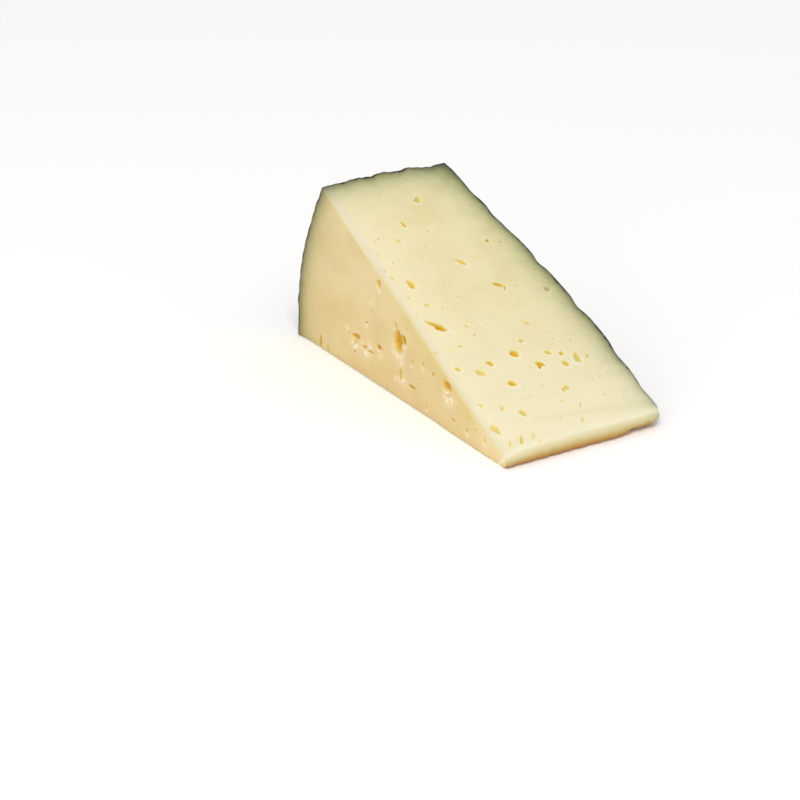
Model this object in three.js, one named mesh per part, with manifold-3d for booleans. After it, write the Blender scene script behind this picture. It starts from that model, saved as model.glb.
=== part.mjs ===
// A wedge of iberico cheese: a thin sector of one half of a pressed wheel, lying on a cut face.
// Millimetres, +Z up. While it is shaped, X runs along the wheel's axis from the halving cut to the
// flat rind, Y from the tip to the round rind, and the wheel's axis is the line y = z = 0.
// At the end the wedge is moved so that the origin is at the middle of its footprint.
import * as THREE from "three";
import { mergeVertices } from "three/addons/utils/BufferGeometryUtils.js";
import Module from "manifold-3d";

// The wheel: 20 cm across and about 10 cm high, of which the wedge has one half.
const wheel = {
  radius: 100.4,
  halfHeight: 50.6, // on the axis, from the halving cut to the flat rind
  domeDrop: 11.8, // how far the domed flat rind falls towards the rim
  sideDrop: 1.2, // how far the round rind draws in towards the flat one
  rimRound: 0.8, // corner between the round and the flat rind
  pastCut: 6, // how far the uncut wheel goes on behind the halving cut
  turns: 270, // steps round the wheel
  radialStep: 2,
  rimStep: 2.4,
  cornerSteps: 2,
};

// The two long knife cuts that meet at the tip, seen along the wheel's axis.
const cut = {
  angle: 28.5, // degrees between them
  hollow: 0.6, // the upper one is a little hollow
  lean: 0.024, // and loses this share of its height from the halving cut to the flat rind
  reach: 1.12, // how far they pass the rind, as a share of the radius
  edge: 1.7, // softened edge between the halving cut and the upper cut
  spare: 4, // depth of the block under the base before the base is cut flat
  steps: 20, // along the wheel's axis
  curveSteps: 14,
  edgeSteps: 2,
};

// The worn tip: a round nose, thinner towards the halving cut and turned off at the far corner.
const nose = {
  radius: 2.3,
  centre: 1, // distance of its middle from the wheel's axis
  thinning: 0.45, // share of its height lost at the halving cut
  thinLength: 4.5, // how far along the axis the thinning reaches
  thinFade: 22, // and how far up the cuts
  cornerRadius: 6,
  cornerFade: 8,
};

// Grooves that the mould's slats left across the flat rind, by their distance from the axis.
const grooves = [
  { at: 8, depth: 1.2, width: 5 },
  { at: 13.5, depth: 0.45, width: 3 },
  { at: 17, depth: 0.35, width: 2.5 },
  { at: 20, depth: 0.9, width: 3.2 },
  { at: 36.4, depth: 0.8, width: 2.4 },
  { at: 52.1, depth: 0.75, width: 2 },
  { at: 64.5, depth: 0.5, width: 3.2 },
  { at: 69.2, depth: 0.75, width: 2.6 },
  { at: 77.2, depth: 0.5, width: 2.6 },
];
// Strokes of the plaited band round the side, and the side's swell between the two cuts.
const plait = { depth: 0.4, strokes: 66, rowHeight: 9.6, lean: 2.6 };
const swell = { height: 0.8, up: 21, reach: 13 };
const marksFade = 3; // both fade out this near the corner between the rinds

// Eyes in the upper cut: mm from the tip and across from the halving cut, then length, width,
// depth and the turn of the length from straight across, in degrees.
const slopeEyes = [
  { fromTip: 78.5, across: 24, length: 2.6, width: 1.9, depth: 1.2, turn: 60 },
  { fromTip: 72, across: 15.5, length: 2.7, width: 1.3, depth: 1.1, turn: 100 },
  { fromTip: 67.5, across: 11, length: 2.4, width: 1.4, depth: 0.9, turn: 108 },
  { fromTip: 57, across: 24.5, length: 4.3, width: 1.5, depth: 1.1, turn: 130 },
  { fromTip: 54, across: 6.5, length: 4, width: 2.1, depth: 1.6, turn: 95 },
  { fromTip: 48, across: 30, length: 4.2, width: 1.6, depth: 1.4, turn: 145 },
  { fromTip: 47, across: 7, length: 1.9, width: 1.5, depth: 0.9, turn: 140 },
  { fromTip: 43.5, across: 42.5, length: 2.2, width: 2.1, depth: 1, turn: 125 },
  { fromTip: 40.5, across: 6, length: 7.2, width: 1.9, depth: 1.7, turn: 130 },
  { fromTip: 35, across: 30.5, length: 2, width: 1.8, depth: 0.9, turn: 118 },
  { fromTip: 27, across: 21.5, length: 3.1, width: 2.9, depth: 1.7, turn: 118 },
  { fromTip: 27, across: 4, length: 2.3, width: 1.4, depth: 0.9, turn: 112 },
  { fromTip: 26, across: 13, length: 2.7, width: 1.8, depth: 1.3, turn: 120 },
  { fromTip: 25, across: 30.5, length: 2.4, width: 1.5, depth: 1, turn: 135 },
  { fromTip: 24, across: 34, length: 2, width: 1.6, depth: 1.1, turn: 60 },
  { fromTip: 24, across: 9, length: 3.3, width: 2.4, depth: 1.2, turn: 130 },
  { fromTip: 22, across: 26.5, length: 3.2, width: 2, depth: 1.5, turn: 145 },
  { fromTip: 22, across: 37.5, length: 4.5, width: 2, depth: 1.4, turn: 73 },
  { fromTip: 20.5, across: 33, length: 2.7, width: 1.9, depth: 1.2, turn: 120 },
  { fromTip: 19, across: 15, length: 3, width: 2, depth: 1.4, turn: 150 },
  { fromTip: 13.5, across: 28.5, length: 2.4, width: 2, depth: 1.1, turn: 100 },
  { fromTip: 10, across: 12.5, length: 3.6, width: 1.9, depth: 1.4, turn: 98 },
  { fromTip: 8.5, across: 3, length: 4.5, width: 2, depth: 1.5, turn: 102 },
  { fromTip: 3, across: 7.5, length: 3.8, width: 1.3, depth: 1.2, turn: 64 },
];
// Eyes in the halving cut: mm from the tip and up from the base.
const sideEyes = [
  { fromTip: 89, up: 2, length: 5, width: 2.2, depth: 1.6, turn: 95 },
  { fromTip: 85.5, up: 0.5, length: 5, width: 1, depth: 1, turn: 94 },
  { fromTip: 71, up: 10, length: 4.2, width: 2.7, depth: 1.6, turn: 170 },
  { fromTip: 65.5, up: 9, length: 5, width: 1.5, depth: 1.2, turn: 0 },
  { fromTip: 60, up: 29.5, length: 2.4, width: 1.9, depth: 1.3, turn: 95 },
  { fromTip: 59.5, up: 12, length: 2.3, width: 1.8, depth: 1.2, turn: 95 },
  { fromTip: 50.5, up: 17, length: 7.2, width: 3.4, depth: 2.4, turn: 105 },
  { fromTip: 48.5, up: 8.5, length: 2.6, width: 1.5, depth: 1.1, turn: 100 },
  { fromTip: 26.5, up: 11, length: 4.8, width: 2.8, depth: 1.9, turn: 128 },
  { fromTip: 17.5, up: 4, length: 1.9, width: 1.5, depth: 1, turn: 150 },
];
const eyeDetail = { around: 9, rings: 6, lump: 0.14, lumpsLong: 5, lumpsWide: 7 };

const paste = { color: 0xefe2b0, roughness: 0.5, metalness: 0 };

const weld = 1e-4; // vertices closer than this are one
const skin = 0.01; // a vertex this near the side's radius is on the round rind

const wasm = await Module();
wasm.setup();

// A closed geometry as a solid that can be cut and joined.
function solidFrom(geometry) {
  const bare = new THREE.BufferGeometry();
  bare.setAttribute("position", geometry.getAttribute("position"));
  bare.setIndex(geometry.getIndex());
  const merged = mergeVertices(bare, weld);
  const corners = merged.getIndex().array;
  const kept = [];
  for (let i = 0; i < corners.length; i += 3) {
    const [a, b, c] = corners.slice(i, i + 3);
    if (a !== b && b !== c && c !== a) kept.push(a, b, c);
  }
  return new wasm.Manifold(
    new wasm.Mesh({
      numProp: 3,
      vertProperties: merged.getAttribute("position").array,
      triVerts: new Uint32Array(kept),
    }),
  );
}

function geometryFrom(solid) {
  const { vertProperties, triVerts } = solid.getMesh();
  const geometry = new THREE.BufferGeometry();
  geometry.setAttribute("position", new THREE.BufferAttribute(vertProperties, 3));
  geometry.setIndex(new THREE.BufferAttribute(triVerts, 1));
  geometry.computeVertexNormals();
  return geometry;
}

// Moves every vertex of a geometry by a rule that changes the point in place.
function reshape(geometry, rule) {
  const position = geometry.getAttribute("position");
  const point = new THREE.Vector3();
  for (let i = 0; i < position.count; i++) {
    point.fromBufferAttribute(position, i);
    rule(point);
    position.setXYZ(i, point.x, point.y, point.z);
  }
  return geometry;
}

// Height of the flat rind over the halving cut, at a distance from the axis.
function flatRindHeight(distance) {
  return wheel.halfHeight - wheel.domeDrop * (distance / wheel.radius) ** 2;
}

const rimHeight = flatRindHeight(wheel.radius);

// Radius of the round rind, at a height over the halving cut.
function sideRadius(height) {
  return wheel.radius - wheel.sideDrop * (Math.max(0, height) / rimHeight) ** 3;
}

// The wheel's outline from the axis out along its back, up the side and in along the flat rind.
function wheelProfile() {
  const profile = [new THREE.Vector2(0, -wheel.pastCut)];
  const sideTop = rimHeight - wheel.rimRound;
  const sideSteps = Math.ceil((sideTop + wheel.pastCut) / wheel.rimStep);
  for (let i = 0; i <= sideSteps; i++) {
    const height = THREE.MathUtils.lerp(-wheel.pastCut, sideTop, i / sideSteps);
    profile.push(new THREE.Vector2(sideRadius(height), height));
  }
  const flatReach = sideRadius(sideTop) - wheel.rimRound;
  const rimCorner = new THREE.Path();
  rimCorner.absarc(flatReach, sideTop, wheel.rimRound, 0, Math.PI / 2);
  profile.push(...rimCorner.getSpacedPoints(wheel.cornerSteps).slice(1));
  const flatSteps = Math.ceil(flatReach / wheel.radialStep);
  for (let i = 1; i <= flatSteps; i++) {
    const distance = flatReach * (1 - i / flatSteps);
    profile.push(new THREE.Vector2(distance, flatRindHeight(distance)));
  }
  return profile;
}

// Depth of the plaited marks: strokes that lean one way and back again from row to row.
function plaitDepth(angle, height) {
  const row = height / plait.rowHeight;
  const zigzag = Math.abs((row % 1) - 0.5) * 2;
  const stroke = Math.cos(angle * plait.strokes + zigzag * plait.lean);
  return plait.depth * (0.5 - 0.5 * stroke);
}

// Depth of the grooves at a distance along the wedge.
function grooveDepth(y) {
  let depth = 0;
  for (const groove of grooves) {
    depth += groove.depth * Math.exp(-(((y - groove.at) / groove.width) ** 2));
  }
  return depth;
}

// Presses the mould's marks into the whole wheel.
function pressMarks(point) {
  const distance = Math.hypot(point.y, point.z);
  if (distance > sideRadius(point.x) - skin) {
    const fade = THREE.MathUtils.smoothstep(rimHeight - point.x, 0, marksFade);
    const marks = plaitDepth(Math.atan2(point.z, point.y), point.x + wheel.pastCut);
    const raised = swell.height * Math.exp(-(((point.z - swell.up) / swell.reach) ** 2));
    const share = 1 + ((raised - marks) * fade) / distance;
    point.multiply(new THREE.Vector3(1, share, share));
  } else if (point.x > rimHeight - wheel.rimRound) {
    const fade = THREE.MathUtils.smoothstep(wheel.radius - distance, 0, marksFade);
    point.x -= grooveDepth(point.y) * fade;
  }
}

function makeWheel() {
  const turned = new THREE.LatheGeometry(wheelProfile(), wheel.turns);
  turned.rotateZ(-Math.PI / 2);
  return solidFrom(reshape(turned, pressMarks));
}

// Points that both the outline and the eyes on the upper cut need, seen along the wheel's axis.
const slope = THREE.MathUtils.degToRad(cut.angle);
const slopeEnd = new THREE.Vector2(Math.cos(slope), Math.sin(slope)).multiplyScalar(wheel.radius);
const noseTop = new THREE.Vector2(-Math.sin(slope), Math.cos(slope)).multiplyScalar(nose.radius);
noseTop.add(new THREE.Vector2(nose.centre, nose.radius));
const slopeRun = slopeEnd.clone().sub(noseTop);
const slopeOut = new THREE.Vector2(-slopeRun.y, slopeRun.x).normalize();

// Outline between the two knife cuts: base, hollow upper cut and the round nose that joins them.
function cutOutline() {
  const far = slopeEnd.clone().addScaledVector(slopeRun, cut.reach - 1);
  const hollowPoint = noseTop.clone().add(slopeEnd).multiplyScalar(0.5);
  hollowPoint.addScaledVector(slopeOut, -2 * cut.hollow);
  const outline = new THREE.Shape();
  outline.moveTo(nose.centre, 0);
  outline.lineTo(nose.centre + nose.radius, -cut.spare);
  outline.lineTo(wheel.radius * cut.reach, -cut.spare);
  outline.lineTo(far.x, far.y);
  outline.lineTo(slopeEnd.x, slopeEnd.y);
  outline.quadraticCurveTo(hollowPoint.x, hollowPoint.y, noseTop.x, noseTop.y);
  outline.absarc(nose.centre, nose.radius, nose.radius, Math.PI / 2 + slope, 1.5 * Math.PI);
  return outline;
}

// How much of its height the cut keeps at a place, thinned near the tip and leaning to the rind.
function heightShare(x, y) {
  const thin = Math.exp(-Math.max(0, x) / nose.thinLength - Math.max(0, y) / nose.thinFade);
  return (1 - nose.thinning * thin) * (1 - (cut.lean * x) / wheel.halfHeight);
}

// Thins the nose, leans the upper cut and turns the nose's far corner off.
function wearNose(point) {
  if (point.z > 0) point.z *= heightShare(point.x, point.y);
  const cornerStart = wheel.halfHeight - nose.cornerRadius;
  const past = THREE.MathUtils.clamp(point.x - cornerStart, 0, nose.cornerRadius);
  const turnedOff = nose.cornerRadius - Math.sqrt(nose.cornerRadius ** 2 - past ** 2);
  point.y += turnedOff * Math.exp(-Math.max(0, point.y) / nose.cornerFade);
}

function makeSector() {
  const block = new THREE.ExtrudeGeometry(cutOutline(), {
    depth: wheel.halfHeight + wheel.pastCut,
    steps: cut.steps,
    curveSegments: cut.curveSteps,
    bevelEnabled: true,
    bevelThickness: cut.edge,
    bevelSize: cut.edge,
    bevelOffset: -cut.edge,
    bevelSegments: cut.edgeSteps,
  });
  block.translate(0, 0, cut.edge);
  const alongAxis = new THREE.Matrix4().makeBasis(
    new THREE.Vector3(0, 1, 0),
    new THREE.Vector3(0, 0, 1),
    new THREE.Vector3(1, 0, 0),
  );
  return solidFrom(reshape(block.applyMatrix4(alongAxis), wearNose));
}

// One eye: a lumpy ellipsoid about its own centre, half of it above the face.
function makeEye(eye, seed) {
  const ball = new THREE.SphereGeometry(0.5, eyeDetail.around, eyeDetail.rings);
  reshape(ball, (point) => {
    const long = Math.sin(eyeDetail.lumpsLong * point.x + seed);
    const wide = Math.sin(eyeDetail.lumpsWide * point.y + 2 * seed);
    point.multiplyScalar(1 + eyeDetail.lump * (long + wide));
  });
  ball.scale(eye.length, eye.width, 2 * eye.depth);
  return ball.rotateZ(THREE.MathUtils.degToRad(eye.turn));
}

// Where an eye sits on the upper cut: a frame with its Z out of the face.
function slopePlace(eye) {
  const share = eye.fromTip / slopeEnd.x;
  const hollow = 4 * cut.hollow * share * (1 - share);
  const rise = noseTop.y + slopeRun.y * share - hollow;
  const along = new THREE.Vector3(0, slopeRun.x, slopeRun.y).normalize();
  const out = new THREE.Vector3(0, slopeOut.x, slopeOut.y);
  const basis = new THREE.Matrix4().makeBasis(new THREE.Vector3(1, 0, 0), along, out);
  return basis.setPosition(eye.across, eye.fromTip, rise * heightShare(eye.across, eye.fromTip));
}

// The same on the halving cut, where Z comes out against the wheel's axis.
function sidePlace(eye) {
  const basis = new THREE.Matrix4().makeBasis(
    new THREE.Vector3(0, -1, 0),
    new THREE.Vector3(0, 0, 1),
    new THREE.Vector3(-1, 0, 0),
  );
  return basis.setPosition(0, eye.fromTip, eye.up);
}

function makeWedge() {
  const size = 2 * wheel.radius * cut.reach;
  const aboveBase = new THREE.BoxGeometry(size, size, size).translate(0, 0, size / 2);
  let solid = makeWheel().intersect(makeSector()).intersect(solidFrom(aboveBase));
  slopeEyes.forEach((eye, i) => {
    solid = solid.subtract(solidFrom(makeEye(eye, i).applyMatrix4(slopePlace(eye))));
  });
  sideEyes.forEach((eye, i) => {
    solid = solid.subtract(solidFrom(makeEye(eye, i + 0.5).applyMatrix4(sidePlace(eye))));
  });
  return solid;
}

const wedge = new THREE.Mesh(geometryFrom(makeWedge()), new THREE.MeshStandardMaterial(paste));
wedge.name = "cheese_wedge";
wedge.geometry.computeBoundingBox();
const footprint = wedge.geometry.boundingBox.getCenter(new THREE.Vector3());
wedge.position.set(-footprint.x, -footprint.y, -wedge.geometry.boundingBox.min.z);

const cheese = new THREE.Group();
cheese.add(wedge);

export default cheese;
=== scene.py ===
from math import cos, pi, radians, sin

import bmesh
import bpy
import numpy as np
from mathutils import Matrix, Vector, noise


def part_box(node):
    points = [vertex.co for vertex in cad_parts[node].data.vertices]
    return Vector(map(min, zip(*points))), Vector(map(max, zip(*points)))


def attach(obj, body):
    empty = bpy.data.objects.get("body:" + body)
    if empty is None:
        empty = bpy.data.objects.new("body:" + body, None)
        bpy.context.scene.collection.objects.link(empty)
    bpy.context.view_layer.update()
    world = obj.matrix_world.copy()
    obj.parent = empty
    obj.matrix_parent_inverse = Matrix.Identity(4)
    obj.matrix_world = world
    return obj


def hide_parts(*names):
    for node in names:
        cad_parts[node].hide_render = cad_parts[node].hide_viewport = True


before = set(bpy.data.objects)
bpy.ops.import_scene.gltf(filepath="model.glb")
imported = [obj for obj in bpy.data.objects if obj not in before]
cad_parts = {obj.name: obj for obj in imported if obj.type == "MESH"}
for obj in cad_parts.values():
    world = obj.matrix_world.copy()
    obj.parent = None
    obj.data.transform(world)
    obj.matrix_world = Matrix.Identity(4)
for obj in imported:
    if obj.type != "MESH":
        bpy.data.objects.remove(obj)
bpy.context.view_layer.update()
print("frame loaded")

# The wedge, in mm. A block is bent into it: x runs from the halving cut to the flat rind,
# y from the tip to the round rind, and the wheel's axis is the line y = z = 0.
wedge = {
    "blockAcross": 50.0,
    "blockAlong": 100.0,
    "blockUp": 48.0,
    "radius": 100.4,  # of the wheel
    "sideDrop": 1.2,  # the round rind draws in towards the flat one
    "halfHeight": 50.6,  # on the axis, from the halving cut to the flat rind
    "domeDrop": 11.8,  # of the flat rind, from the axis to the wheel's radius
    "angle": 28.5,  # degrees between the two knife cuts
    "hollow": 0.6,  # of the upper cut
    "lean": 0.024,  # how much lower the upper cut is at the flat rind, as a share
    "noseRadius": 2.3,
    "noseCentre": 1.0,  # from the axis
    "thinning": 0.45,  # of the nose at the halving cut, as a share
    "thinLength": 4.5,
    "thinFade": 22.0,
    "cornerRadius": 5.4,  # of the nose's corner at the flat rind
    "cornerFade": 8.0,
    "rise": 0.7,  # of the upper cut, along its edge with the halving cut
    "riseWidth": 5.0,
    "riseStart": (5.0, 20.0),  # from the tip
    "riseEnd": (45.0, 70.0),
    "wear": 0.5,  # of the halving cut's lower edge
    "wearWidth": 3.0,
    "wearHeight": 1.2,
    "wearStart": (24.0, 34.0),
    "wearEnd": (94.0, 100.0),
    "edge": 1.7,  # the full radius of an edge
    "edgeSteps": 5,
    "cell": 0.92,  # of the mesh, away from the eyes
    "hair": 0.01,  # a point this close to a place counts as there
}

# where the wheel's axis and the halving cut meet the base, in the frame
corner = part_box("cheese_wedge")[0] * 1000
axisPlace = Vector((corner.x, corner.y - (wedge["noseCentre"] - wedge["noseRadius"]), 0))

# How much of the full edge radius each edge of the wedge keeps.
edgeSoftness = {
    ("left", "top"): 0.42,
    ("left", "base"): 0.5,
    ("left", "back"): 0.15,
    ("left", "tip"): 0.5,
    ("right", "top"): 0.12,
    ("right", "base"): 0.5,
    ("right", "back"): 0.3,
    ("right", "tip"): 1.0,
    ("top", "back"): 0.12,
    ("base", "back"): 0.4,
}


def smoothStep(value, low, high):
    share = np.clip((value - low) / (high - low), 0, 1)
    return share * share * (3 - 2 * share)


def riseAndFall(value, start, end):
    # 0 before the first range, 1 between the two, and 0 again after the second
    return smoothStep(value, *start) * (1 - smoothStep(value, *end))


def fading(distance, reach):
    # 1 at a surface, and less and less away from it
    return np.exp(-np.maximum(distance, 0) / reach)


def hump(value, middle, reach):
    return np.exp(-(((value - middle) / reach) ** 2))


def blockSides(block):
    # distance of every point from each side of the block
    across, along, up = block[:, 0], block[:, 1], block[:, 2]
    return {
        "left": across,
        "right": wedge["blockAcross"] - across,
        "tip": along,
        "back": wedge["blockAlong"] - along,
        "base": up,
        "top": wedge["blockUp"] - up,
    }


def stretchBetween(value, full, target, keep):
    # fits a length to a new one, leaving its two ends unstretched
    share = (target - 2 * keep) / (full - 2 * keep)
    inner = keep + (value - keep) * share
    farEnd = target - (full - value)
    return np.where(value < keep, value, np.where(full - value < keep, farEnd, inner))


def flatRindHeight(distance):
    return wedge["halfHeight"] - wedge["domeDrop"] * (distance / wedge["radius"]) ** 2


def sliceBlock(bm, axis, span, cuts):
    edges = [e for e in bm.edges if abs(e.verts[0].co[axis] - e.verts[1].co[axis]) > span / 2]
    bmesh.ops.subdivide_edges(bm, edges=edges, cuts=cuts, use_grid_fill=True)


def isAcrossTip(edge):
    # these two edges stay sharp, because the nose is bent round between them
    first, second = (v.co for v in edge.verts)
    return max(first.y, second.y) < wedge["edge"] and abs(first.x - second.x) > wedge["edge"]


def makeBlock():
    size = Vector((wedge["blockAcross"], wedge["blockAlong"], wedge["blockUp"]))
    bm = bmesh.new()
    bmesh.ops.create_cube(bm, size=1)
    bmesh.ops.translate(bm, vec=(0.5, 0.5, 0.5), verts=bm.verts)
    bmesh.ops.scale(bm, vec=size, verts=bm.verts)
    soft = [e for e in bm.edges if not isAcrossTip(e)]
    bmesh.ops.bevel(bm, geom=soft, affect="EDGES", offset=wedge["edge"], offset_type="OFFSET",
                    segments=wedge["edgeSteps"], profile=0.5, material=-1)
    for axis in range(3):
        sliceBlock(bm, axis, size[axis], round(size[axis] / wedge["cell"]) - 1)
    return bm


def tightenEdges(block, sides):
    # draws every edge's rounding in to its own radius
    reach = wedge["edge"] + wedge["hair"]
    tight = np.ones(len(block))
    for (one, other), softness in edgeSoftness.items():
        inside = (sides[one] <= reach) & (sides[other] <= reach)
        tight[inside] = np.minimum(tight[inside], softness)
    across, along, up = block[:, 0].copy(), block[:, 1].copy(), block[:, 2].copy()
    for values, low, high in (
        (across, "left", "right"), (along, "tip", "back"), (up, "base", "top"),
    ):
        full = values + sides[high]
        near = sides[low] <= reach
        values[near] = sides[low][near] * tight[near]
        near = sides[high] <= reach
        values[near] = full[near] - sides[high][near] * tight[near]
    return across, along, up


def shapeCuts(x, y, z, v):
    # thins the nose, turns off its far corner, and wears the two long edges by the halving cut
    towardsNose = np.exp(
        -np.maximum(x, 0) / wedge["thinLength"] - np.maximum(y, 0) / wedge["thinFade"]
    )
    leaning = wedge["lean"] * x / wedge["halfHeight"]
    z = z * (1 - wedge["thinning"] * towardsNose) * (1 - leaning)
    radius = wedge["cornerRadius"]
    past = np.clip(x - (wedge["halfHeight"] - radius), 0, radius)
    turned = radius - np.sqrt(radius ** 2 - past ** 2)
    y = y + turned * fading(y, wedge["cornerFade"])
    risen = riseAndFall(y, wedge["riseStart"], wedge["riseEnd"])
    z = z + v * wedge["rise"] * fading(x, wedge["riseWidth"]) * risen
    towardsEdge = np.exp(
        -np.maximum(x, 0) / wedge["wearWidth"] - np.maximum(z, 0) / wedge["wearHeight"]
    )
    worn = riseAndFall(y, wedge["wearStart"], wedge["wearEnd"])
    x = x + wedge["wear"] * towardsEdge * worn
    return np.stack([x, y, z], axis=1)


def bendBlock(block):
    # where the block's points lie in the wedge, with their distances from the two rinds
    keep = wedge["edge"]
    across, along, up = tightenEdges(block, blockSides(block))
    u = along / wedge["blockAlong"]
    w = across / wedge["blockAcross"]
    angle = radians(wedge["angle"])
    noseRadius, noseCentre = wedge["noseRadius"], wedge["noseCentre"]
    noseTopY, noseTopZ = noseCentre - noseRadius * sin(angle), noseRadius * (1 + cos(angle))
    side = wedge["radius"] - wedge["sideDrop"] * w ** 3
    tall = noseTopZ + (side * sin(angle) - noseTopZ) * u
    v = stretchBetween(up, wedge["blockUp"], tall, keep) / tall

    # the four outlines seen along the wheel's axis: base, upper cut, nose and round rind
    baseY = noseCentre + (side - noseCentre) * u
    sag = 4 * wedge["hollow"] * u * (1 - u)
    topY = noseTopY + (side * cos(angle) - noseTopY) * u + sag * sin(angle)
    topZ = noseTopZ + (side * sin(angle) - noseTopZ) * u - sag * cos(angle)
    turn = 1.5 * pi - (pi - angle) * v
    noseY = noseCentre + noseRadius * np.cos(turn)
    noseZ = noseRadius + noseRadius * np.sin(turn)
    rindY, rindZ = side * np.cos(angle * v), side * np.sin(angle * v)

    # the surface between them, less the corners that they share
    y = (1 - v) * baseY + v * topY + (1 - u) * noseY + u * rindY
    y -= (
        (1 - u) * (1 - v) * noseCentre + u * (1 - v) * side
        + (1 - u) * v * noseTopY + u * v * side * cos(angle)
    )
    z = v * topZ + (1 - u) * noseZ + u * rindZ
    z -= (1 - u) * v * noseTopZ + u * v * side * sin(angle)
    distance = np.hypot(y, z)
    height = flatRindHeight(distance)
    x = stretchBetween(across, wedge["blockAcross"], height, keep)
    return shapeCuts(x, y, z, v), height - x, side - distance


# The worn front of the nose: shallow ribs, a chip off its underside towards the flat rind, and
# its corner there rounded off upright.
nose = {
    "front": 6.0,  # mm, up to which the nose is ribbed
    "frontFade": 2.5,
    "fallBack": 1.2,  # how much a mm from the tip counts as height
    "ribs": 0.4,
    "ribSize": (2.2, 7.0, 3.7),  # mm across, mm up, and a seed
    "fineRibs": 0.5,  # as a share of the others
    "fineRibSize": (0.9, 3.0, 8.1),
    "chipStart": 38.8,
    "chipSlope": 0.9,
    "chipDepth": 2.0,
    "chipHeight": 3.0,
    "chipFrom": 1.0,
    "chipFade": 3.0,
    "cornerSwell": (0.85, 3.9, 2.0),  # mm out, height, half width
    "cornerTuck": (0.3, 0.8, 1.1),
    "cornerStart": (36.0, 46.0),
    "cornerFade": 4.5,
}


def ribHeight(point, size):
    across, up, seed = size
    return noise.noise(Vector((point[0] / across, point[2] / up, seed)))


def wearNose(points):
    # gives how high each point is on the nose's front, in mm
    x, y, z = points.T
    thinned = 1 - wedge["thinning"] * fading(x, wedge["thinLength"])
    height = (z + nose["fallBack"] * np.maximum(y, 0)) / thinned
    front = np.flatnonzero(height < nose["front"])
    ribs = np.array([
        ribHeight(p, nose["ribSize"]) + nose["fineRibs"] * ribHeight(p, nose["fineRibSize"])
        for p in points[front]
    ])
    fade = 1 - smoothStep(height[front], nose["frontFade"], nose["front"])
    points[front, 1] += nose["ribs"] * ribs * fade
    start, slope = nose["chipStart"], nose["chipSlope"]
    chip = smoothStep(x, start - slope, start + slope)
    chipBack = fading(y - nose["chipFrom"], nose["chipFade"])
    chip *= np.clip(1 - z / nose["chipHeight"], 0, 1) * chipBack
    points[:, 1] += nose["chipDepth"] * chip
    swellBy, swellHeight, swellReach = nose["cornerSwell"]
    tuckBy, tuckHeight, tuckReach = nose["cornerTuck"]
    rounded = swellBy * hump(z, swellHeight, swellReach) - tuckBy * hump(z, tuckHeight, tuckReach)
    points[:, 0] += rounded * smoothStep(x, *nose["cornerStart"]) * fading(y, nose["cornerFade"])
    return height


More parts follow.
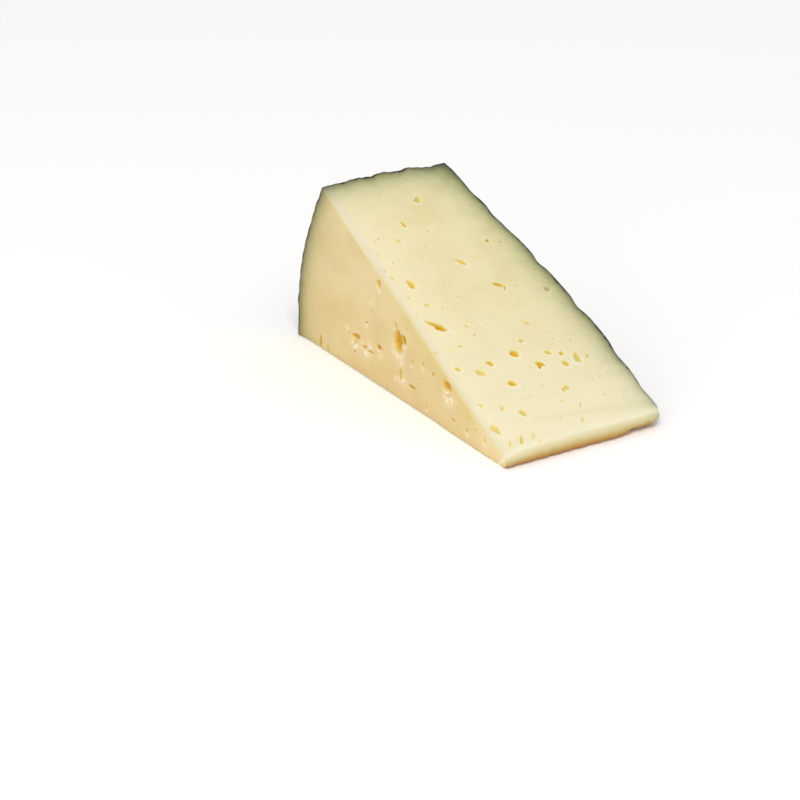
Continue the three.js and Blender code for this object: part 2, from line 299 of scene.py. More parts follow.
# Eyes in the upper cut: mm from the tip, mm across from the halving cut, length, width, turn of
# the length from straight across, depth, how much wider the far end is, and bend.
upperEyes = [
    (78.4, 24.0, 2.4, 1.8, 61, 0.8, -0.6, 0),
    (71.9, 15.5, 2.6, 1.3, 100, 0.9, -0.3, 0.2),
    (67.4, 11.1, 2.3, 1.3, 108, 0.5, 0, 0),
    (61.2, 14.6, 1.7, 1.0, 109, 0.35, 0, 0),
    (57.2, 24.3, 4.0, 1.4, 131, 0.9, -0.5, 0.2),
    (58.4, 23.1, 3.0, 0.6, 3, 0.35, 0, 0),
    (68.5, 21.1, 1.4, 0.8, 160, 0.5, 0, 0),
    (64.3, 17.8, 2.0, 0.9, 62, 0.2, 0, 0),
    (69.4, 6.1, 1.1, 0.8, 26, 0.4, 0, 0),
    (69.0, 4.7, 1.1, 0.7, 41, 0.4, 0, 0),
    (65.3, 3.2, 1.4, 1.2, 103, 0.35, 0, 0),
    (75.0, 14.1, 1.2, 0.7, 60, 0.2, 0, 0),
    (60.0, 2.1, 1.5, 0.6, 115, 0.4, 0, 0),
    (57.3, 2.7, 2.2, 0.8, 97, 0.5, 0, 0),
    (54.1, 6.4, 3.8, 2.0, 95, 1.05, -0.2, 0.35),
    (50.5, 3.6, 2.0, 0.8, 85, 0.35, 0, 0),
    (47.2, 7.0, 1.8, 1.4, 138, 0.6, 0, 0),
    (45.1, 10.5, 1.4, 0.9, 62, 0.25, 0, 0),
    (52.8, 15.9, 1.0, 0.7, 156, 0.2, 0, 0),
    (47.3, 17.0, 0.9, 0.9, 124, 0.5, 0, 0),
    (45.4, 2.8, 0.7, 0.6, 110, 0.3, 0, 0),
    (40.7, 5.8, 7.6, 1.5, 131, 1.2, 0, 0.1),
    (39.8, 6.3, 3.8, 2.3, 126, 1.7, 0.2, 0),
    (38.3, 13.7, 1.5, 1.0, 132, 0.5, 0, 0),
    (37.5, 17.0, 1.2, 0.9, 150, 0.25, 0, 0),
    (35.2, 14.3, 1.5, 1.1, 60, 0.5, 0, 0),
    (33.2, 8.3, 1.5, 1.2, 157, 0.45, 0, 0),
    (40.2, 1.0, 1.3, 0.6, 84, 0.4, 0, 0),
    (33.7, 1.0, 1.3, 1.1, 129, 0.5, 0, 0),
    (48.2, 30.1, 4.0, 1.5, 144, 1.3, -0.2, 0),
    (46.9, 31.4, 2.2, 0.9, 69, 1.1, 0, 0),
    (46.8, 35.3, 1.7, 0.9, 169, 0.3, 0, 0),
    (43.6, 42.7, 2.1, 1.9, 125, 0.7, -0.3, 0),
    (38.2, 44.1, 0.9, 0.9, 115, 0.3, 0, 0),
    (38.6, 39.1, 0.9, 0.8, 155, 0.25, 0, 0),
    (36.3, 29.8, 1.2, 0.9, 127, 0.35, 0, 0),
    (35.0, 30.6, 1.7, 1.7, 118, 0.6, 0, 0),
    (30.3, 25.6, 1.8, 1.3, 2, 0.7, 0, 0),
    (27.1, 21.3, 3.0, 2.8, 118, 1.4, 0.3, 0),
    (25.0, 30.7, 2.4, 1.5, 134, 0.9, 0.4, 0),
    (23.9, 34.0, 2.0, 1.5, 59, 1.0, 0, 0),
    (21.8, 37.5, 4.4, 1.9, 73, 0.8, -0.6, 0),
    (21.4, 40.6, 2.1, 1.0, 58, 0.5, 0, 0),
    (20.7, 33.2, 2.6, 1.8, 119, 0.95, 0, 0.2),
    (22.3, 26.3, 3.1, 1.7, 145, 1.4, 0.2, 0.2),
    (21.7, 25.7, 2.0, 1.3, 57, 1.4, 0, 0),
    (26.1, 12.9, 2.6, 1.7, 119, 1.1, 0.1, 0.1),
    (24.3, 8.8, 3.1, 2.3, 130, 0.7, 0.2, 0),
    (27.3, 3.7, 2.2, 1.4, 112, 0.8, 0, 0),
    (18.8, 15.1, 3.0, 2.0, 150, 1.2, 0.2, 0.3),
    (15.8, 3.3, 1.9, 1.1, 102, 0.45, 0, 0),
    (13.0, 8.0, 2.7, 1.7, 68, 0.4, 0, 0.2),
    (9.8, 12.5, 3.6, 1.9, 98, 0.75, 0.5, 0),
    (14.1, 17.6, 1.2, 0.8, 58, 0.3, 0, 0),
    (16.0, 22.9, 0.8, 0.8, 130, 0.3, 0, 0),
    (13.7, 28.8, 2.1, 1.9, 113, 0.75, 0.3, 0),
    (13.4, 27.6, 2.0, 1.0, 63, 0.7, 0, 0),
    (17.2, 26.7, 0.8, 0.9, 158, 0.25, 0, 0),
    (10.2, 25.0, 1.6, 0.9, 99, 0.5, 0, 0),
    (7.8, 29.1, 2.5, 0.8, 58, 0.5, -0.3, 0),
    (9.0, 37.7, 1.4, 1.0, 106, 0.3, 0, 0),
    (6.8, 42.2, 1.0, 0.7, 144, 0.25, 0, 0),
    (8.4, 2.9, 4.4, 1.9, 102, 0.7, 0.3, 0.2),
    (3.2, 3.9, 2.7, 1.3, 64, 0.35, 0, 0),
    (2.9, 7.2, 3.9, 1.2, 64, 0.7, -0.4, 0),
    (10.2, 3.7, 0.7, 0.6, 97, 0.3, 0, 0),
    (3.6, 26.8, 2.3, 1.3, 64, 0.4, 0, 0),
    (61.8, 35.7, 1.5, 1.2, 60, 1.2, 0, 0),
    (60.5, 39.1, 0.9, 0.5, 60, 0.9, 0, 0),
    (2.8, 10.9, 2.8, 1.2, 64, 0.35, 0, 0),
    (27.0, 39.1, 1.2, 0.8, 60, 0.35, 0, 0),
    (28.7, 34.6, 0.9, 0.7, 100, 0.35, 0, 0),
    (5.7, 21.3, 1.3, 0.9, 90, 0.35, 0, 0),
    (61.7, 5.8, 1.0, 0.7, 100, 0.4, 0, 0),
    (61.8, 7.6, 0.8, 0.6, 60, 0.35, 0, 0),
    (1.0, 11.5, 1.1, 0.6, 64, 0.4, 0, 0),
    (32.7, 4.5, 0.9, 0.7, 120, 0.4, 0, 0),
    (17.0, 7.1, 0.9, 0.7, 60, 0.4, 0, 0),
    (50.0, 43.6, 0.9, 0.6, 110, 0.35, 0, 0),
    (52.9, 43.0, 0.7, 0.6, 90, 0.3, 0, 0),
    (81.9, 14.4, 0.9, 0.6, 60, 0.35, 0, 0),
    (76.2, 21.8, 0.8, 0.6, 70, 0.3, 0, 0),
    (14.2, 37.3, 1.1, 0.7, 90, 0.35, 0, 0),
    (14.4, 39.8, 0.9, 0.6, 90, 0.35, 0, 0),
    (14.9, 42.4, 0.8, 0.6, 60, 0.3, 0, 0),
    (9.9, 39.9, 0.7, 0.6, 100, 0.3, 0, 0),
    (3.7, 41.4, 0.8, 0.6, 60, 0.3, 0, 0),
    (37.4, 19.5, 0.8, 0.6, 130, 0.35, 0, 0),
    (34.0, 22.0, 0.7, 0.6, 60, 0.3, 0, 0),
    (30.8, 35.0, 0.8, 0.6, 90, 0.3, 0, 0),
    (13.6, 15.6, 0.8, 0.6, 60, 0.3, 0, 0),
    (68.1, 28.5, 0.8, 0.6, 120, 0.35, 0, 0),
    (58.0, 28.4, 0.8, 0.6, 60, 0.3, 0, 0),
]

# Eyes in the halving cut: mm from the tip, mm up from the base, and then as above, with the turn
# from straight along the base.
halvingEyes = [
    (59.9, 29.6, 2.6, 2.1, 80, 1.0, 0.2, 0),
    (63.3, 20.6, 0.8, 0.8, 82, 0.7, 0, 0),
    (65.8, 16.4, 1.7, 0.9, 172, 0.8, 0, 0),
    (57.5, 18.3, 1.0, 0.8, 89, 0.4, 0, 0),
    (70.9, 10.5, 4.8, 1.8, 175, 1.2, 0.2, 0.2),
    (70.9, 9.0, 3.2, 2.6, 15, 0.7, 0, 0),
    (74.3, 10.4, 1.6, 1.0, 170, 0.5, 0, 0),
    (71.5, 6.0, 1.4, 1.0, 86, 0.7, 0, 0),
    (66.6, 9.0, 3.0, 1.5, 160, 0.9, 0, -0.2),
    (63.6, 8.7, 3.6, 0.9, 175, 0.7, 0.2, 0),
    (59.6, 11.6, 2.8, 1.6, 170, 1.3, 0, 0),
    (61.0, 12.4, 3.6, 1.4, 20, 0.2, 0, 0),
    (50.4, 16.9, 8.0, 4.3, 82, 2.2, -0.3, 0.1),
    (51.6, 21.0, 2.4, 1.2, 86, 0.7, -0.3, 0),
    (47.8, 18.0, 3.2, 2.7, 70, 1.6, 0, 0),
    (46.4, 17.3, 1.4, 0.7, 120, 0.8, 0, 0),
    (46.1, 21.7, 1.2, 0.8, 73, 0.5, 0, 0),
    (89.0, 1.4, 6.6, 1.7, 93, 1.7, 0, 0),
    (85.2, 1.0, 4.6, 0.8, 95, 1.1, 0, 0),
    (48.9, 7.7, 3.9, 1.5, 88, 1.1, -0.2, 0),
    (43.6, 13.4, 1.7, 0.7, 92, 0.7, 0, 0),
    (38.2, 14.6, 1.3, 1.2, 85, 0.9, 0, 0),
    (33.5, 13.6, 1.6, 1.3, 79, 0.8, 0, 0),
    (43.4, 6.2, 3.8, 0.9, 178, 1.0, 0, 0.2),
    (38.8, 10.3, 1.0, 0.9, 33, 0.4, 0, 0),
    (26.9, 12.7, 5.0, 3.0, 12, 1.4, 0.1, 0.15),
    (25.8, 9.9, 3.8, 3.2, 70, 0.7, 0, 0),
    (36.4, 3.0, 2.0, 0.5, 100, 0.6, 0, 0),
    (23.6, 4.4, 1.8, 0.7, 8, 0.9, 0, 0),
    (17.4, 4.0, 1.4, 1.3, 60, 1.0, 0, 0),
    (9.1, 4.2, 1.8, 1.0, 93, 0.5, 0, 0),
    (55.6, 1.9, 0.9, 0.7, 7, 0.4, 0, 0),
    (64.0, 1.0, 1.1, 1.0, 60, 0.8, 0, 0),
    (79.5, 0.3, 1.2, 0.8, 90, 0.6, 0, 0),
    (72.5, 0.3, 1.0, 0.8, 90, 0.5, 0, 0),
    (46.8, 0.4, 1.0, 0.8, 90, 0.7, 0, 0),
    (13.0, 0.2, 1.1, 0.8, 90, 0.8, 0, 0),
    (63.2, 5.5, 1.2, 0.8, 80, 0.5, 0, 0),
    (64.2, 24.0, 0.9, 0.7, 90, 0.5, 0, 0),
    (70.2, 13.0, 0.9, 0.7, 90, 0.4, 0, 0),
    (21.8, 8.6, 0.9, 0.7, 80, 0.4, 0, 0),
    (77.2, 6.3, 5.0, 2.6, 165, 0.15, 0, 0),
    (60.2, 23.2, 4.0, 2.2, 80, 0.15, 0, 0),
    (16.8, 7.4, 3.6, 2.0, 160, 0.15, 0, 0),
    (13.6, 5.6, 2.6, 1.4, 150, 0.2, 0, 0),
    (70.0, 16.6, 2.2, 1.4, 90, 0.2, 0, 0),
]

# Lumps of white crumb that the wire left on the halving cut, and painted glints below several of
# its eyes drawn as the same white lumps: mm from the tip, mm up, size and height.
crumbsAndGlints = [
    (75.1, 11.3, 1.0, 0.25),
    (76.2, 11.6, 0.6, 0.15),
    (70.3, 8.0, 1.3, 0.75),
    (71.2, 7.4, 1.2, 0.4),
    (71.8, 6.9, 0.8, 0.3),
    (68.6, 8.0, 0.9, 0.3),
    (72.6, 8.4, 0.9, 0.25),
    (67.6, 9.6, 0.7, 0.2),
    (64.4, 10.6, 0.9, 0.25),
    (63.7, 9.9, 1.1, 0.35),
    (65.8, 7.6, 1.7, 0.4),
    (64.9, 7.4, 0.9, 0.25),
    (58.5, 9.5, 0.9, 0.2),
    (59.3, 8.3, 0.5, 0.15),
    (65.6, 15.5, 1.1, 0.25),
    (63.3, 22.9, 0.8, 0.1),
    (59.3, 27.8, 0.9, 0.25),
    (59.9, 27.0, 0.5, 0.15),
    (50.3, 12.7, 0.8, 0.3),
    (49.0, 12.5, 1.3, 0.2),
    (47.9, 12.9, 1.1, 0.15),
    (48.6, 11.4, 1.8, 0.1),
    (50.9, 5.7, 0.9, 0.3),
    (47.3, 6.6, 1.4, 0.35),
    (46.2, 5.6, 0.6, 0.15),
    (43.6, 12.1, 0.8, 0.12),
    (38.2, 13.3, 0.9, 0.12),
    (26.4, 10.9, 1.0, 0.6),
    (25.1, 9.9, 1.3, 0.7),
    (26.6, 8.9, 1.9, 0.3),
    (24.5, 9.2, 1.7, 0.25),
    (27.9, 9.6, 1.0, 0.2),
    (36.3, 2.0, 0.8, 0.15),
    (17.0, 2.6, 1.1, 0.25),
    (9.0, 2.9, 1.1, 0.12),
    (88.0, 1.6, 0.7, 0.2),
]

# How the eyes are pressed in. Places across an eye's wall count its outline as 1.
eyeStyle = {
    "band": 1.8,  # mm of the block next to a cut that its eyes can move
    "seamBand": 0.5,  # mm below the upper cut that the halving cut's eyes leave alone
    "bendMiddle": 0.4,  # keeps a bent eye over its own middle
    "taperLimits": (0.25, 2.0),
    "reach": 0.9,  # how far out an eye's points are looked for, as a share of its size
    "reachExtra": 0.5,  # and mm beyond that
    "ragged": 0.2,  # how uneven the outline is
    "raggedSize": 1.1,  # mm
    "fineRagged": 0.1,
    "fineRaggedSize": 0.35,
    "wall": (0.2, 1.12),  # from the floor to the surface
    "depthShare": 0.65,
    "lipHeight": 0.05,
    "lipPlace": 1.2,
    "lipWidth": 0.3,
    "fullTone": 1.5,  # depth in mm from which an eye has its full colour
    "toneCurve": 0.75,
    "toneFade": (0.4, 1.2),
    # painted highlight on the lit side of an eye's rim
    "lipHighlight": 0.55,
}
crumbAndGlintStyle = {
    "reach": 2.5,  # how far out its points are looked for, as a share of a crumb's size
    "halo": 1.2,  # the same for these three
    "slope": (0.2, 0.85),
    "fineReach": 1.3,  # of the finer mesh
    "ragged": 0.6,
    "raggedSize": 0.6,  # mm
    "raggedTop": 0.5,
    "heightShare": 0.7,
    "haloTone": 0.4,
    "lowTone": 0.45,  # whiteness of the flattest one
}


def placeOnUpperCut(points, eye):
    # how far every point is from an eye's middle, across the upper cut and up along it
    return points[:, 0] - eye[1], (points[:, 1] - eye[0]) / cos(radians(wedge["angle"]))


def placeOnHalvingCut(points, eye):
    return points[:, 1] - eye[0], points[:, 2] - eye[1]


def eyeDistance(faceX, faceY, eye):
    # 0 in the middle of an eye, 1 at its outline
    _, _, length, width, turn, _, taper, bend = eye
    angle = radians(turn)
    along = (faceX * cos(angle) + faceY * sin(angle)) / (length / 2)
    across = (-faceX * sin(angle) + faceY * cos(angle)) / (width / 2)
    across = across - bend * (along * along - eyeStyle["bendMiddle"])
    return np.hypot(along, across / np.clip(1 + taper * along, *eyeStyle["taperLimits"]))


def pressEyes(points, before, place, chosen, outward, eyes, hollow, whiteAndHighlight):
    # an eye's place is measured on the points as they were before any eye was pressed in
    style = eyeStyle
    for number, eye in enumerate(eyes):
        _, _, length, width, _, depth, _, _ = eye
        reach = style["reach"] * max(length, width) + style["reachExtra"]
        faceX, faceY = place(before, eye)
        near = np.flatnonzero(chosen & (np.abs(faceX) < reach) & (np.abs(faceY) < reach))
        if not len(near):
            continue
        faceX, faceY = faceX[near], faceY[near]
        seed = Vector((0, 0, number))
        rough = np.array([
            style["ragged"] * noise.noise(Vector(p) / style["raggedSize"] + seed)
            + style["fineRagged"] * noise.noise(Vector(p) / style["fineRaggedSize"])
            for p in points[near]
        ])
        ring = eyeDistance(faceX, faceY, eye) * (1 + rough)
        floor = 1 - smoothStep(ring, *style["wall"])
        # an eye's colour deepens with its depth: partly its own tint, partly painted shade
        tone = min(1, depth / style["fullTone"]) ** style["toneCurve"]
        # painted highlight: the rim is made lighter on the side of the tip or the base, the far
        # wall that faces the light
        below = np.clip(-faceY / (np.hypot(faceX, faceY) + wedge["hair"]), 0, 1)
        lip = hump(ring, style["lipPlace"], style["lipWidth"]) * min(1, depth)
        raised = style["lipHeight"] * lip - style["depthShare"] * depth * floor
        points[near] += outward * raised[:, None]
        toned = (1 - smoothStep(ring, *style["toneFade"])) * tone
        hollow[near] = np.maximum(hollow[near], toned)
        whiteAndHighlight[near] = np.maximum(whiteAndHighlight[near], style["lipHighlight"] * lip * below)


def pressCrumbsAndGlints(points, chosen, hollow, whiteAndHighlight):
    style = crumbAndGlintStyle
    for fromTip, up, size, height in crumbsAndGlints:
        distance = np.hypot(points[:, 1] - fromTip, points[:, 2] - up)
        near = np.flatnonzero(chosen & (distance < style["reach"] * size))
        distance = distance[near]
        rough = np.array([noise.noise(Vector(p) / style["raggedSize"]) for p in points[near]])
        uneven = distance / size * (1 + style["ragged"] * rough)
        lump = 1 - smoothStep(uneven, *style["slope"])
        halo = hump(distance, 0, style["halo"] * size)
        points[near, 0] -= style["heightShare"] * height * lump * (1 + style["raggedTop"] * rough)
        # white of a crumb, and a painted glint where the lump stands for one
        whiteness = np.maximum(lump, style["haloTone"] * halo) * min(1, style["lowTone"] + height)
        whiteAndHighlight[near] = np.maximum(whiteAndHighlight[near], whiteness)
        hollow[near] *= 1 - lump


# The marks of the mould. Grooves between its slats cross the flat rind; a plaited band went
# round the side.
grooves = [
    # mm from the tip, depth, half width
    (8.8, 0.95, 3.4),
    (13.5, 0.45, 3),
    (17, 0.35, 2.5),
    (20, 0.9, 3.2),
    (36.4, 0.8, 2.4),
    (52.1, 0.75, 2),
    (64.5, 0.5, 3.2),
    (69.2, 0.75, 2.6),
    (77.2, 0.5, 2.6),
    (86, -0.3, 3.5),
]
knobs = [
    # on the round rind: mm across, mm up, half width, height
    (11, 47, 2.6, 0.3),
    (19.2, 47, 2.8, 0.65),
    (27.4, 46.5, 3.2, 0.8),
    (38.6, 46.4, 3.0, 0.8),
    (4.5, 48, 1.6, -0.1),
    (0, 45, 1.8, -0.2),
    (0, 36, 3.2, -0.15),
    (0, 10.5, 2, 0.3),
    (0, 6.5, 1.6, -0.2),
]
swell = {"height": 0.8, "up": 21.0, "reach": 13.0}  # mm, all along the round rind
plait = {
    "pitch": 4.6,  # mm from strand to strand
    "row": 9.4,
    "rowStart": 3.0,
    "lean": 38,  # degrees
    "depth": 0.55,
    "roundness": 0.7,
    "seam": 0.3,
    "seamRoundness": 0.35,
    "wander": 0.9,
    "wanderSize": 9.0,  # mm
    "rowWander": 0.15,
    "strandWander": 2.0,
    "middle": 0.2,  # mm; a mark of this depth leaves the rind where it was
    "atCuts": 0.5,  # share of the depth that is left where the knife went through
    "cutFade": 5.0,
    "reach": 1.6,  # how deep into the paste the marks still bend it
    "knobReach": 12.0,  # the same for the knobs and the swell
    "grooveReach": 4.0,
    "skin": 3.0,  # mm of paste with marks, and mm at the rim where they fade out
    "grooveTone": 0.3,  # how dark a groove is beside a gap between strands
}


def grooveDepth(y):
    return sum(depth * hump(y, at, width) for at, depth, width in grooves)


def plaitDepth(x, y, z):
    # 0 on top of a strand, 1 between the strands
    spots = np.stack([x, y, z], axis=1) / plait["wanderSize"]
    wander = np.array([noise.noise(Vector(p)) for p in spots]) * plait["wander"]
    around = np.arctan2(z, y) * wedge["radius"]
    row = (x + plait["rowStart"]) / plait["row"] + plait["rowWander"] * wander
    zigzag = 2 * np.abs(row / 2 - np.floor(row / 2) - 0.5)
    slant = 2 * plait["row"] * zigzag * np.tan(radians(plait["lean"]))
    strand = (around + wander * plait["strandWander"] + slant) / plait["pitch"]
    between = 1 - np.abs(np.sin(pi * strand)) ** plait["roundness"]
    seam = 1 - np.abs(np.sin(pi * row)) ** plait["seamRoundness"]
    return np.clip(between * plait["depth"] + seam * plait["seam"], 0, 1)


def pressMould(points, sides, fromFlat, fromRound):
    # gives how dark a mark is at each point
    x, y, z = points.T
    onRind = np.flatnonzero(fromRound < plait["skin"])
    marks = np.zeros(len(points))
    marks[onRind] = plaitDepth(x[onRind], y[onRind], z[onRind])
    fromCuts = np.minimum(np.minimum(sides["left"], sides["top"]), sides["base"])
    uncut = smoothStep(fromCuts, 0, plait["cutFade"])
    marks *= plait["atCuts"] + (1 - plait["atCuts"]) * uncut
    raised = swell["height"] * hump(z, swell["up"], swell["reach"])
    for knobX, knobZ, reach, height in knobs:
        raised += height * np.exp(-((x - knobX) ** 2 + (z - knobZ) ** 2) / reach ** 2)
    raised *= fading(fromRound, plait["knobReach"])
    fromRim = smoothStep(fromFlat, 0, plait["skin"])
    shift = raised - (marks - plait["middle"]) * fading(fromRound, plait["reach"]) * fromRim
    outward = (shift / np.hypot(y, z))[:, None] * np.stack([0 * x, y, z], axis=1)
    groove = grooveDepth(y) * fading(fromFlat, plait["grooveReach"])
    groove *= smoothStep(fromRound, 0, plait["skin"])
    points += outward
    points[:, 0] -= groove
    points[:, 2] = np.maximum(points[:, 2], 0)
    return marks + plait["grooveTone"] * groove


# The mesh is cut finer in and round the eyes, in three passes: from and to, where an eye's
# outline is 1, mm beyond that, and the depth of the shallowest eye that gets the pass.
finePasses = [
    (0, 1.35, 0.4, 0),
    (0.1, 1.25, 0.2, 0),
    (0.45, 1.18, 0.05, 0.7),
]
mostCorners = 8  # a face with more of them isn't cut again


def refine(bm, faces):
    edges = dict.fromkeys(e for f in faces for e in f.edges)
    bmesh.ops.subdivide_edges(bm, edges=list(edges), cuts=1, use_grid_fill=True)


def facesNearEyes(bm, finePass):
    # the faces that an eye or a crumb shapes; in the later passes, only those of its wall
    inner, outer, spare, shallowest = finePass
    faces = [f for f in bm.faces if len(f.verts) <= mostCorners]
    block = np.array([f.calc_center_median() for f in faces])
    points, _, _ = bendBlock(block)
    sides = blockSides(block)
    chosen = np.zeros(len(faces), bool)
    fineReach = crumbAndGlintStyle["fineReach"]
    crumbSpots = [
        (fromTip, up, fineReach * size, fineReach * size, 0, 0, 0, 0)
        for fromTip, up, size, _ in crumbsAndGlints
    ]
    for eyes, place, onFace in (
        (upperEyes, placeOnUpperCut, sides["top"] < eyeStyle["band"]),
        (halvingEyes + crumbSpots, placeOnHalvingCut, sides["left"] < eyeStyle["band"]),
    ):
        for eye in eyes:
            _, _, length, width, _, depth, _, _ = eye
            if depth < shallowest:
                continue
            ring = eyeDistance(*place(points, eye), eye)
            chosen |= onFace & (ring < outer + 2 * spare / min(length, width)) & (ring > inner)
    return [f for f, wanted in zip(faces, chosen) if wanted]


def makeMesh():
    bm = makeBlock()
    back = wedge["blockAlong"] - wedge["hair"]
    refine(bm, [f for f in bm.faces if min(v.co.y for v in f.verts) > back])
    for finePass in finePasses:
        refine(bm, facesNearEyes(bm, finePass))
    base = [f for f in bm.faces if max(v.co.z for v in f.verts) < wedge["hair"]]
    bmesh.ops.dissolve_faces(bm, faces=base)
    mesh = bpy.data.meshes.new("cheeseWedge")
    bm.to_mesh(mesh)
    bm.free()
    return mesh


# Where the masks that the paste reads start and end, in mm.
maskStyle = {
    "halvingWidth": 0.35,  # of the rounded edge that still has the halving cut's colour
    "tip": (2.0, 55.0),  # from the tip
    "goldenTop": 3.6,  # height of the upper cut's edge at the tip
    "goldenWidth": 7.0,
    "goldenStart": (8.0, 20.0),
    "goldenEnd": (48.0, 66.0),
    "draggedPlace": (41.0, 72.7),  # across, and from the tip
    "draggedSize": (4.5, 3.0),
    "rindOverEdge": 0.9,  # share of a rounded edge's width that is rind
}


def addMasks(mesh, points, sides, masks):
    # what the two materials read
    x, y, z = points.T
    slope = radians(wedge["angle"])
    underEdge = y * sin(slope) - (z - maskStyle["goldenTop"]) * cos(slope)
    golden = hump(np.maximum(underEdge, 0), 0, maskStyle["goldenWidth"])
    draggedX, draggedY = maskStyle["draggedPlace"]
    draggedAcross, draggedAlong = maskStyle["draggedSize"]
    masks["halving"] = np.clip(1 - sides["left"] / maskStyle["halvingWidth"], 0, 1)
    masks["fromHalving"] = np.maximum(x, 0)
    masks["towardsTip"] = 1 - smoothStep(y, *maskStyle["tip"])
    masks["golden"] = golden * riseAndFall(y, maskStyle["goldenStart"], maskStyle["goldenEnd"])
    masks["height"] = z
    masks["dragShade"] = hump(y, draggedY, draggedAlong) * hump(x, draggedX, draggedAcross)
    for name, values in masks.items():
        mask = mesh.attributes.new(name, "FLOAT", "POINT")
        mask.data.foreach_set("value", values.astype(np.float32))


def addObject(name, data):
    made = bpy.data.objects.new(name, data)
    bpy.context.scene.collection.objects.link(made)
    return made


def makeWedge():
    mesh = makeMesh()
    print("block cut up:", len(mesh.vertices), "points")
    block = np.empty(len(mesh.vertices) * 3, np.float32)
    mesh.vertices.foreach_get("co", block)
    block = block.reshape(-1, 3).astype(float)
    sides = blockSides(block)
    points, fromFlat, fromRound = bendBlock(block)
    marks = pressMould(points, sides, fromFlat, fromRound)
    noseHeight = wearNose(points)

    slope = radians(wedge["angle"])
    hollow, whiteAndHighlight = np.zeros(len(points)), np.zeros(len(points))
    before = points.copy()
    upper = sides["top"] < eyeStyle["band"]
    halving = (sides["left"] < eyeStyle["band"]) & (sides["top"] > eyeStyle["seamBand"])
    upperOut, halvingOut = np.array([0, -sin(slope), cos(slope)]), np.array([-1.0, 0, 0])
    pressEyes(points, before, placeOnUpperCut, upper, upperOut, upperEyes, hollow, whiteAndHighlight)
    pressEyes(points, before, placeOnHalvingCut, halving, halvingOut, halvingEyes, hollow, whiteAndHighlight)
    pressCrumbsAndGlints(points, halving, hollow, whiteAndHighlight)
    print("eyes pressed in")

    # from the wheel's own place to the frame, in metres
    placed = (points + np.array(axisPlace)) / 1000
    mesh.vertices.foreach_set("co", placed.astype(np.float32).ravel())
    mesh.shade_smooth()
    addMasks(mesh, points, sides, {
        "fromFlat": fromFlat, "fromRound": fromRound, "hollow": hollow, "whiteAndHighlight": whiteAndHighlight,
        "marks": marks, "noseHeight": noseHeight,
    })
    rindWidth = maskStyle["rindOverEdge"] * wedge["edge"]
    for polygon in mesh.polygons:
        spots = block[list(polygon.vertices)]
        isBack = (spots[:, 1] > wedge["blockAlong"] - rindWidth).all()
        isRight = (spots[:, 0] > wedge["blockAcross"] - rindWidth).all()
        polygon.material_index = 1 if isBack or isRight else 0
    mesh.validate()
    mesh.update()
    print("wedge made:", len(mesh.polygons), "faces")
    return addObject("cheeseWedge", mesh)


def screenColour(red, green, blue):
    # from the 0 to 255 values of a screen to the ones that a shader takes
    def toLinear(value):
        value /= 255
        return value / 12.92 if value <= 0.04045 else ((value + 0.055) / 1.055) ** 2.4
    return (toLinear(red), toLinear(green), toLinear(blue), 1.0)


class NodeBench:
    # a small helper that adds and wires the nodes of one tree

    def __init__(self, tree):
        self.tree = tree

    def add(self, kind, **settings):
        node = self.tree.nodes.new(kind)
        for name, value in settings.items():
            setattr(node, name, value)
        return node

    def wire(self, source, target):
        self.tree.links.new(source, target)

    def put(self, socket, value):
        if isinstance(value, bpy.types.NodeSocket):
            self.wire(value, socket)
        else:
            socket.default_value = value

    def attribute(self, name):
        node = self.add("ShaderNodeAttribute", attribute_name=name, attribute_type="GEOMETRY")
        return node.outputs["Fac"]

    def math(self, operation, a, b=0.0, clamp=False):
        node = self.add("ShaderNodeMath", operation=operation, use_clamp=clamp)
        for socket, value in zip(node.inputs, (a, b)):
            self.put(socket, value)
        return node.outputs[0]

    def times(self, a, b, clamp=False):
        return self.math("MULTIPLY", a, b, clamp)

    def inverted(self, share):
        return self.math("SUBTRACT", 1.0, share)

    def fading(self, distance, reach):
        # 1 at a surface, and less and less away from it
        return self.math("EXPONENT", self.math("DIVIDE", distance, -reach))

    def remap(self, value, low, high, outLow=0.0, outHigh=1.0, smooth=True):
        kind = "SMOOTHSTEP" if smooth else "LINEAR"
        node = self.add("ShaderNodeMapRange", interpolation_type=kind)
        names = ("Value", "From Min", "From Max", "To Min", "To Max")
        for name, setting in zip(names, (value, low, high, outLow, outHigh)):
            self.put(node.inputs[name], setting)
        return node.outputs["Result"]

    def mix(self, share, a, b, blend="MIX"):
        node = self.add("ShaderNodeMix", data_type="RGBA", blend_type=blend, clamp_factor=True)
        for number, value in ((0, share), (6, a), (7, b)):
            self.put(node.inputs[number], value)
        return node.outputs[2]

    def tinted(self, colour, share, tint):
        # a colour multiplied by a tint, by a share of it
        return self.mix(share, colour, self.mix(1.0, colour, tint, "MULTIPLY"))

    def noise(self, vector, scale, detail=2.0, roughness=0.5):
        node = self.add("ShaderNodeTexNoise")
        self.wire(vector, node.inputs["Vector"])
        self.put(node.inputs["Scale"], scale)
        node.inputs["Detail"].default_value = detail
        node.inputs["Roughness"].default_value = roughness
        return node.outputs["Fac"]

    def streaks(self, vector, size, turn=0.0, detail=2.0, roughness=0.5):
        # noise stretched to a size in metres, turned by so many degrees about the vertical
        node = self.add("ShaderNodeMapping", vector_type="TEXTURE")
        self.wire(vector, node.inputs["Vector"])
        node.inputs["Rotation"].default_value = (0, 0, radians(turn))
        node.inputs["Scale"].default_value = size
        return self.noise(node.outputs["Vector"], 1.0, detail, roughness)

    def group(self, tree, **values):
        node = self.add("ShaderNodeGroup", node_tree=tree)
        for name, value in values.items():
            self.put(node.inputs[name], value)
        return node

    def bump(self, height, strength, distance, normal=None):
        node = self.add("ShaderNodeBump")
        self.put(node.inputs["Height"], height)
        node.inputs["Strength"].default_value = strength
        node.inputs["Distance"].default_value = distance
        if normal:
            self.wire(normal, node.inputs["Normal"])
        return node.outputs["Normal"]


